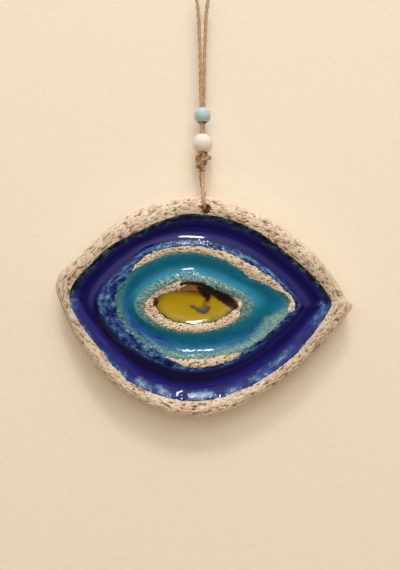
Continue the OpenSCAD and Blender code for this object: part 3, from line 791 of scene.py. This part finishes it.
def cobaltGlaze():
    # Cobalt glaze under clear gloss: violet navy in the pool, blue where thin, pale blue-grey where it breaks
    material, tree, shader, marks = newMaterial("cobaltGlaze", {"IOR": 1.5}, ["thick", *cobaltMarks])
    fine = addNode(tree, "TexNoise", {"Scale": 700, "Detail": 4, "Roughness": 0.65},
                   {"Vector": marks["place"]})
    blots, streaks, runs = flowPatterns(tree, [(4.6, 2.2, 2), (12, 0.9, 3), (4.5, 6, 3)])
    wobble = addNode(tree, "Math", {"operation": "MULTIPLY_ADD", 1: 0.3}, {0: streaks, 2: marks["thick"]})
    depth = addNode(tree, "MapRange", {"From Min": 0.06, "From Max": 1.3}, {"Value": wobble})
    crusted = addNode(tree, "Math", {"operation": "ADD"}, {0: blots, 1: marks["crust"]})
    ramps = {
        # the brighter violet at 0.62 paints streaks of hazy reflection over the glaze's own violet navy
        "pool": (depth, [(0, "#4c7084"), (0.12, "#2a4c8c"), (0.25, "#1d2a80"), (0.43, "#161258"),
                         (0.62, "#241c70"), (0.8, "#1a1462"), (0.95, "#120d4c")]),
        "flank": (crusted, [(0.34, "#080c1e"), (0.46, "#13245c"), (0.54, "#234380"), (0.63, "#41648c"),
                            (0.76, "#7896a0")]),
        "lowerWall": (streaks, [(0.38, "#120f48"), (0.5, "#1c1d68"), (0.66, "#233c8c")]),
        "paleRun": (blots, [(0.36, "#284898"), (0.5, "#4f76a2"), (0.64, "#8fb0b4")]),
        "upperLip": (blots, [(0.38, "#0a1022"), (0.5, "#1b2c40"), (0.66, "#56726e")]),
    }
    for key, (source, stops) in ramps.items():
        ramp = addNode(tree, "ValToRGB", {"stops": stops}, {"Fac": source})
        colour = ramp if key == "pool" else addNode(tree, "Mix", {"data_type": "RGBA"},
                                                    {0: marks[key], 6: colour, 7: ramp})
    # where the painted shade along the pool's edge shows, in patches
    patchy = addNode(tree, "MapRange", {"From Min": 0.3, "From Max": 0.5}, {"Value": runs})
    edgeShade = addNode(tree, "Math", {"operation": "MULTIPLY"}, {0: marks["poolLine"], 1: patchy})
    dark = addNode(tree, "MapRange", {"From Min": 0.4, "From Max": 0.34}, {"Value": fine})
    thin = addNode(tree, "MapRange", {"From Min": 0.45, "From Max": 0.15}, {"Value": marks["thick"]})
    specks = addNode(tree, "Math", {"operation": "MULTIPLY"}, {0: dark, 1: thin})
    # painted shade under the ridge and along the pool's edge, then the thin glaze's own dark specks
    for share, hexColour in ((marks["innerShade"], "#080618"), (edgeShade, "#060816"), (specks, "#0b0c12")):
        colour = addNode(tree, "Mix", {"data_type": "RGBA", 7: linear(hexColour)}, {0: share, 6: colour})
    dulled = addNode(tree, "MapRange", {"To Min": 0.08, "To Max": 0.38}, {"Value": marks["paleRun"]})
    bump = brokenSurface(tree, marks["flank"], fine)
    link(tree, shader, {"Base Color": colour, "Roughness": dulled, "Normal": bump})
    return material


def turquoiseGlaze():
    # Copper turquoise glaze under clear gloss: petrol in the pool, celadon and granular where it thins
    finish = {"Roughness": 0.08, "IOR": 1.5}
    material, tree, shader, marks = newMaterial("turquoiseGlaze", finish, ["thick", *turquoiseMarks])
    fine = addNode(tree, "TexNoise", {"Scale": 800, "Detail": 4, "Roughness": 0.65},
                   {"Vector": marks["place"]})
    water = addNode(tree, "TexNoise", {"Scale": 330, "Detail": 3}, {"Vector": marks["place"]})
    blots, streaks = flowPatterns(tree, [(2, 1.2, 4), (14, 0.8, 3)])
    drift = addNode(tree, "Math", {"operation": "ADD"}, {0: streaks, 1: water})
    wobble = addNode(tree, "Math", {"operation": "MULTIPLY_ADD", 1: 0.55}, {0: drift, 2: marks["thick"]})
    depth = addNode(tree, "MapRange", {"From Min": 0.3, "From Max": 2.0}, {"Value": wobble})
    streaked = addNode(tree, "MapRange", {"From Min": 0.38, "From Max": 0.56}, {"Value": streaks})
    deep = addNode(tree, "Math", {"operation": "MULTIPLY"}, {0: marks["blueRun"], 1: streaked})
    grained = addNode(tree, "Math", {"operation": "MULTIPLY_ADD", 1: 0.6}, {0: fine, 2: blots})
    ramps = (
        (depth, [(0.1, "#4c9896"), (0.3, "#1c8298"), (0.55, "#12728c"), (0.85, "#0e5f78")]),
        (blots, [(0.36, "#1d2a2a"), (0.5, "#3a5854"), (0.66, "#68866e")]),
        (blots, [(0.34, "#486c6c"), (0.5, "#6c9088"), (0.68, "#96ab99")]),
        (grained, [(0.55, "#27484c"), (0.7, "#4a6f70"), (0.84, "#6f908a"), (1.0, "#98ac9e")]))
    pool, shadedEdge, light, celadon = (addNode(tree, "ValToRGB", {"stops": stops}, {"Fac": source})
                                  for source, stops in ramps)
    # the crest edge: painted shade at the top, pale thin glaze at the bottom
    edge = addNode(tree, "Mix", {"data_type": "RGBA"}, {0: marks["paleEdge"], 6: shadedEdge, 7: light})
    blue = addNode(tree, "Mix", {"data_type": "RGBA", 7: linear("#0f2c80")}, {0: deep, 6: pool})
    rimmed = addNode(tree, "Mix", {"data_type": "RGBA"}, {0: marks["crestEdge"], 6: blue, 7: edge})
    ringed = addNode(tree, "Mix", {"data_type": "RGBA"}, {0: marks["celadon"], 6: rimmed, 7: celadon})
    dark = addNode(tree, "MapRange", {"From Min": 0.4, "From Max": 0.34}, {"Value": fine})
    thin = addNode(tree, "MapRange", {"From Min": 0.3, "From Max": 0.08}, {"Value": marks["thick"]})
    specks = addNode(tree, "Math", {"operation": "MULTIPLY"}, {0: dark, 1: thin})
    colour = addNode(tree, "Mix", {"data_type": "RGBA", 7: linear("#15191a")}, {0: specks, 6: ringed})
    broken = addNode(tree, "MapRange", {"From Min": 0.5, "From Max": 0.15}, {"Value": marks["thick"]})
    link(tree, shader, {"Base Color": colour, "Normal": brokenSurface(tree, broken, fine)})
    return material


cobaltRows = np.r_[np.linspace(0.9, 2, 36), np.linspace(2.04, 2.95, 24)]
turquoiseRows = np.r_[np.linspace(2.3, 3, 16), np.linspace(3.04, 4, 28), np.linspace(4.05, 5.1, 18)]
glazeBand("cobalt_pool", cobaltRows, cobaltThickness, cobaltGlaze(), "cobalt_glaze", cobaltMarks)
glazeBand("turquoise_pool", turquoiseRows, turquoiseThickness, turquoiseGlaze(), "turquoise_glaze",
          turquoiseMarks)
print("grooves glazed")

pupil = {
    "deep": 2.15, "meniscus": 2.7,  # how far the pool sinks below its edge, and over how many mm
    # brush strokes: x, z, half width
    "smear": [(-10.2, -146.6, 0.4), (-6, -146.2, 1.0), (-1.5, -146.8, 1.3), (2.5, -148.9, 1.9),
              (5.8, -150.9, 2.0), (9.5, -153.1, 2.2), (13, -155.5, 2.3), (16, -157.8, 1.6)],
    "mass": [(-1.6, -148.8, 1.2), (0.6, -150.8, 1.8), (2.6, -152.8, 1.6), (2.4, -155, 0.6)],
    "veil": [(2.2, -155.2, 1.2), (1.8, -157, 1.0), (1.4, -158.8, 1.2)],
    "hook": [(2.8, -158.6, 0.8), (1.2, -160.2, 1.3), (-1.6, -160, 0.9), (-3.4, -159.2, 0.4),
             (-5.2, -158.2, 0.5)],
    "ochre": [(-10, -149.6, 1.2), (-5, -149.2, 2.1), (-1.6, -149.4, 2.1), (3, -150.5, 1.2)],
    "bead": [(6.6, -148.6, 0.5), (8.6, -149.8, 0.7)],
    "leftSpot": [(-23.2, -155.2, 0.8), (-23.8, -157.4, 0.7)],
    "rightChips": [(17.2, -148.8, 0.4), (19.4, -150.2, 0.7)],
}


def poolDepth(s):  # the yellow's surface: a shallow bowl that climbs to its edge
    reach = np.clip(s - 5, 0, 1) * eye["down"][5] / pupil["meniscus"]
    return eye["lips"][5] + pupil["deep"] * (1 - np.exp(-reach ** 1.35))


def closeUnder(stationsBack, x, y, z, layers):  # adds the hidden side of a piece that reaches the middle
    s, _, x2, z2 = ringGrid(stationsBack)
    y2 = eye["frontY"] + clayDepth(s) + glaze["under"]
    layers["flow"] = layers.get("flow", np.zeros(x.shape + (3,)))
    closed = {key: np.vstack([values, np.zeros(x2.shape + values.shape[2:]), values[:1]])
              for key, values in layers.items()}
    return np.vstack([x, x2, x[:1]]), np.vstack([y, y2, y[:1]]), np.vstack([z, z2, z[:1]]), closed


def buildYellow():
    s, t, x, z = ringGrid(np.r_[np.linspace(4.45, 5.3, 30), np.linspace(5.34, 6, 14)])
    flat = np.stack([x, 0 * x, z], -1)
    width = bandWidth(s, x, z)
    ragged = 0.5 * grain(flat, 2.2, 31) + 0.45 * grain(flat, 1.1, 32)
    inside = np.maximum((s - 5) * width, brushed(flat, [pupil["ochre"]])) + ragged
    rough = roughness(s, x, z, flowAlong(s))
    bare = clayDepth(s) - rough + 0.35
    brimming = np.minimum(poolDepth(s) - 0.12 * np.exp(-np.clip(inside, 0, 9)) - 0.05,
                          clayDepth(s) - 0.5 * rough - 0.15)
    y = eye["frontY"] + np.where(inside > 0, brimming, bare)
    layers = {"inside": np.clip(inside, -1, 6), "flow": flowAlong(s),
              "stain": easeOver(brushed(flat, [pupil[key] for key in ("smear", "mass", "veil", "hook")])
                                + 0.5 * grain(flat, 1.6, 33), -1.4, 0.6),
              "ochre": easeOver(brushed(flat, [pupil["ochre"]]) + 0.4 * grain(flat, 1.2, 34), -0.3, 0.7)}
    x, y, z, layers = closeUnder(np.linspace(6, 4.45, 5), x, y, z, layers)
    return ringPiece("yellow_pool", x, y, z, layers, yellowGlaze(), "plaque",
                     ["yellow_glaze"])


def yellowGlaze():
    # Opaque yellow glaze, pooled glassy: egg yellow, olive towards its edge, charred where it met bare clay
    finish = {"Roughness": 0.1, "IOR": 1.5, "Coat Weight": 0.3, "Coat Roughness": 0.2}
    material, tree, shader, marks = newMaterial("yellowGlaze", finish, ["inside", "stain", "ochre"])
    fine = addNode(tree, "TexNoise", {"Scale": 600, "Detail": 3}, {"Vector": marks["place"]})
    drift = addNode(tree, "TexNoise", {"Scale": 150, "Detail": 4}, {"Vector": marks["place"]})
    deep = addNode(tree, "Math", {"operation": "MULTIPLY_ADD", 1: 4.5}, {0: drift, 2: marks["inside"]})
    depth = addNode(tree, "MapRange", {"From Min": 2.0, "From Max": 7.6}, {"Value": deep})
    stops = [(0.0, "#57520f"), (0.22, "#7c7608"), (0.5, "#9d8602"), (0.9, "#ad8d00")]
    colour = addNode(tree, "ValToRGB", {"stops": stops}, {"Fac": depth})
    grainy = addNode(tree, "MapRange", {"From Min": 0.2, "From Max": 0.7}, {"Value": fine})
    stain = addNode(tree, "Math", {"operation": "MULTIPLY"}, {0: marks["stain"], 1: grainy})
    chipped = addNode(tree, "Math", {"operation": "MULTIPLY_ADD", 1: 3.0}, {0: drift, 2: marks["inside"]})
    chips = addNode(tree, "MapRange", {"From Min": 1.95, "From Max": 1.65}, {"Value": chipped})
    for share, hexColour in ((marks["ochre"], "#8c5f1e"), (stain, "#5a3a0e"), (chips, "#1c1408")):
        colour = addNode(tree, "Mix", {"data_type": "RGBA", 7: linear(hexColour)}, {0: share, 6: colour})
    link(tree, shader, {"Base Color": colour})
    return material


def ironGlaze():
    # Iron-black glaze brushed on last: matt black-brown with rust grains, greyer where it sank in the yellow
    finish = {"Roughness": 0.35, "IOR": 1.5, "Specular IOR Level": 0.35}
    material, tree, shader, marks = newMaterial("ironGlaze", finish, ["thick", "sunk"])
    fleck = addNode(tree, "TexNoise", {"Scale": 800, "Detail": 4, "Roughness": 0.7},
                    {"Vector": marks["place"]})
    height = addNode(tree, "Math", {"operation": "MULTIPLY_ADD", 1: 0.8}, {0: fleck, 2: marks["thick"]})
    stops = [(0.3, "#7a5226"), (0.5, "#3a2612"), (0.64, "#15110c"), (0.85, "#1f1915")]
    proud = addNode(tree, "ValToRGB", {"stops": stops}, {"Fac": height})
    sunk = addNode(tree, "ValToRGB", {"stops": [(0.4, "#6f6550"), (0.6, "#4d4546")]}, {"Fac": fleck})
    colour = addNode(tree, "Mix", {"data_type": "RGBA"}, {0: marks["sunk"], 6: proud, 7: sunk})
    bump = addNode(tree, "Bump", {"Strength": 0.5, "Distance": 0.2 * mm}, {"Height": fleck})
    link(tree, shader, {"Base Color": colour, "Normal": bump})
    return material


def buildDark():
    s, t, x, z = ringGrid(np.linspace(4.3, 6, 56))
    flat = np.stack([x, 0 * x, z], -1)
    width = bandWidth(s, x, z)
    ragged = 0.5 * grain(flat, 2, 41) + 0.4 * grain(flat, 0.9, 42)
    hook = brushed(flat, [pupil["hook"]])
    proud = [pupil[key] for key in ("smear", "mass", "bead", "leftSpot", "rightChips")]
    stroke = np.maximum(brushed(flat, proud), hook) + ragged
    thick = np.clip(stroke * 0.35, -0.35, 0.25)
    surface = np.where(s > 5, np.minimum(clayDepth(s), poolDepth(s)) - 0.17,
                       clayDepth(s) - 0.5 * roughness(s, x, z, flowAlong(s)) - 0.1)
    surface = np.minimum(surface, poolDepth(s))
    y = eye["frontY"] + surface - thick
    layers = {"thick": thick, "sunk": easeOver(hook, -0.4, 0.3)}
    x, y, z, layers = closeUnder(np.linspace(6, 4.3, 6), x, y, z, layers)
    return ringPiece("iron_brushwork", x, y, z, layers, ironGlaze(), "plaque", ["dark_glaze"])


buildYellow()
buildDark()
print("pupil glazed")


room = {
    "wallY": 8.6,
    "wallHex": "#efe2cd",
    "floorZ": -1200,
    # brightness of the room, from straight down to straight up
    "around": [(0.0, "#5c5c5c"), (0.38, "#5c5c5c"), (0.47, "#c4c4c4"), (0.85, "#c8c8c8"), (0.95, "#ffffff")],
    "ahead": (-0.92, -0.84, 0.2),  # whoever looks stands in its light: the room's y, brightness there
    "lit": (0, 0, -156),  # the point that the lamps face, mm
    # from left to right
    "across": [(0.0, "#808080"), (0.07, "#808080"), (0.12, "#ffffff"), (0.62, "#ffffff"), (0.8, "#dddddd")],
}


def limePlaster():
    # Rolled wall paint over plaster, cream: seen from behind it is clear, so the back of the plaque shows
    finish = {"Roughness": 0.9, "Specular IOR Level": 0.1, "Base Color": linear(room["wallHex"])}
    material, tree, shader, marks = newMaterial("limePlaster", finish)
    stipple = addNode(tree, "TexNoise", {"Scale": 260, "Detail": 5, "Roughness": 0.6},
                      {"Vector": marks["place"]})
    bump = addNode(tree, "Bump", {"Strength": 0.4, "Distance": 0.7 * mm}, {"Height": stipple})
    link(tree, shader, {"Normal": bump})
    behind = addNode(tree, "NewGeometry")
    clear = addNode(tree, "BsdfTransparent")
    mixed = addNode(tree, "MixShader", {}, {0: behind.outputs["Backfacing"], 1: shader, 2: clear})
    link(tree, tree.nodes["Material Output"], {"Surface": mixed})
    return material


def stagePlane(name, size, matrix, material):
    bm = bmesh.new()
    bmesh.ops.create_grid(bm, x_segments=1, y_segments=1, size=size / 2 * mm, matrix=matrix)
    plane = addPiece(bm, name, material, None)
    return plane


wall = stagePlane("wall", 3000,
                  Matrix.Translation((0, room["wallY"] * mm, -0.15)) @ Matrix.Rotation(math.pi / 2, 4, "X"),
                  limePlaster())
wall.visible_shadow = False
paleFloor = newMaterial("paleFloor", {"Roughness": 0.9, "Base Color": linear("#efe6d8")})[0]
floor = stagePlane("floor", 8000, Matrix.Translation((0, 0, room["floorZ"] * mm)), paleFloor)
floor.visible_diffuse = floor.visible_glossy = False

world = bpy.data.worlds.new("softRoom")
scene.world = world
world.use_nodes = True
tree = world.node_tree
direction = addNode(tree, "TexCoord")
parts = addNode(tree, "SeparateXYZ", {}, {"Vector": direction.outputs["Generated"]})
height = addNode(tree, "MapRange", {"From Min": -1.0, "From Max": 1.0}, {"Value": parts.outputs["Z"]})
glow = addNode(tree, "ValToRGB", {"stops": room["around"]}, {"Fac": height})
viewer = addNode(tree, "MapRange", {"From Min": room["ahead"][0], "From Max": room["ahead"][1],
                                    "To Min": room["ahead"][2]}, {"Value": parts.outputs["Y"]})
sideways = addNode(tree, "MapRange", {"From Min": -1.0, "From Max": 1.0}, {"Value": parts.outputs["X"]})
across = addNode(tree, "ValToRGB", {"stops": room["across"]}, {"Fac": sideways})
strength = addNode(tree, "Math", {"operation": "MULTIPLY"}, {0: viewer, 1: across})
link(tree, tree.nodes["Background"], {"Color": glow, "Strength": strength})


def areaLamp(name, place, size, power, mirrored=True, hexColour="#ffffff"):
    lamp = bpy.data.lights.new(name, "AREA")
    lamp.shape = "RECTANGLE"
    lamp.size, lamp.size_y = size
    lamp.energy = power
    lamp.color = linear(hexColour)[:3]
    holder = bpy.data.objects.new(name, lamp)
    holder.location = Vector(place) * mm
    holder.rotation_euler = (Vector(room["lit"]) - Vector(place)).to_track_quat("-Z", "Y").to_euler()
    holder.visible_glossy = mirrored
    scene.collection.objects.link(holder)


areaLamp("ceilingLamp", (-20, -870, 1190), (0.34, 0.24), 7.2)
areaLamp("softBounce", (330, -1050, 1050), (1.0, 0.8), 7.2, mirrored=False, hexColour="#f5f8ff")
areaLamp("floorBounce", (150, -1100, -1300), (1.4, 1.0), 13.5, mirrored=False, hexColour="#ffd6a8")
areaLamp("frontBounce", (0, -1300, 350), (1.6, 1.0), 7.0, mirrored=False, hexColour="#fff8f0")
areaLamp("backLamp", (300, 1500, 400), (1.2, 1.2), 5)
print("lit")
